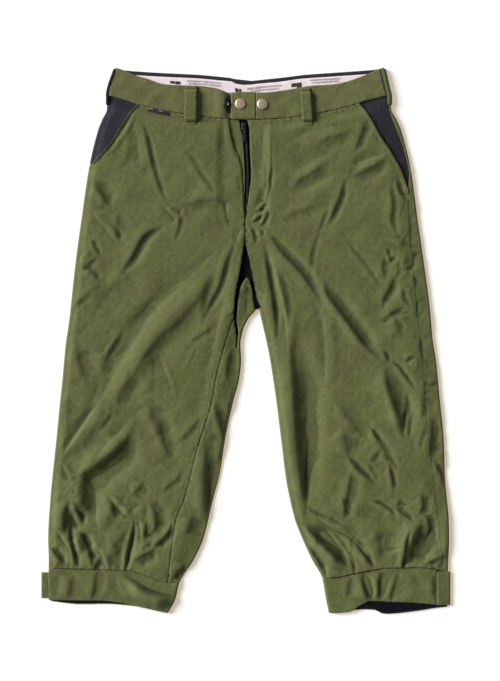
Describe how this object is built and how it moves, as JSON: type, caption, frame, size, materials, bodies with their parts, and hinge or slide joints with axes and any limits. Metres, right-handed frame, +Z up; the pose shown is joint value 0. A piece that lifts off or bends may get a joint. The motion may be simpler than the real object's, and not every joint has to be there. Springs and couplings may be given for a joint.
{
  "type": "knee breeches",
  "caption": "Outdoor knee breeches laid flat on their back: full legs gathered into knee cuffs, zip fly, snap waist tab, belt loops and slanted front pockets.",
  "frame": {"origin": "centre of the garment's outline on the surface it lies on, at its underside", "axes": "+Z up out of the garment's front, +Y towards the waist, +X towards the wearer's left leg"},
  "size_m": [0.573, 0.766, 0.0096],
  "materials": {
    "green_cloth": "matt olive green woven cotton mix with a faint brown cast",
    "charcoal_cloth": "matt charcoal woven cloth",
    "black_cloth": "matt black cloth",
    "pale_tape": "pale pink-white tape with small grey-violet marks",
    "grey_label": "plain grey woven label",
    "antique_nickel": "brushed antique nickel over brass",
    "black_metal": "black lacquered metal",
    "black_plastic": "glossy black plastic"
  },
  "bodies": {
    "garment": {"front_right": "green_cloth", "front_left": "green_cloth", "back_right": "green_cloth", "back_left": "green_cloth", "pocket_facing_right": "charcoal_cloth", "pocket_facing_left": "charcoal_cloth", "pocket_welt_right": "green_cloth", "pocket_welt_left": "green_cloth", "crotch_gusset": "black_cloth", "zip_tape": "black_cloth", "zip_chain": "black_metal", "zip_slider": "black_metal", "fly_extension": "green_cloth", "waistband_front_right": "green_cloth", "waistband_front_left": "green_cloth", "waistband_tab": "green_cloth", "waistband_back": "charcoal_cloth", "waist_tape": "pale_tape", "belt_loop_front_right": "green_cloth", "belt_loop_front_left": "green_cloth", "belt_loop_side_right": "black_cloth", "belt_loop_side_left": "green_cloth", "label": "grey_label", "snap_cap_tab": "antique_nickel", "snap_cap_band": "antique_nickel", "waist_button": "black_plastic", "cuff_right": "green_cloth", "cuff_left": "green_cloth", "cuff_tab_right": "green_cloth", "cuff_tab_left": "green_cloth", "cuff_lining_right": "black_cloth", "cuff_lining_left": "black_cloth"},
    "zip_pull": {"zip_pull": "black_metal"}
  },
  "joints": [
    {"name": "zip_pull_hinge", "type": "hinge", "parent": "garment", "child": "zip_pull", "pos_m": [-0.0027, 0.30096, 0.0069], "axis": [-1, 0, 0], "range_deg": [0, 115]}
  ]
}
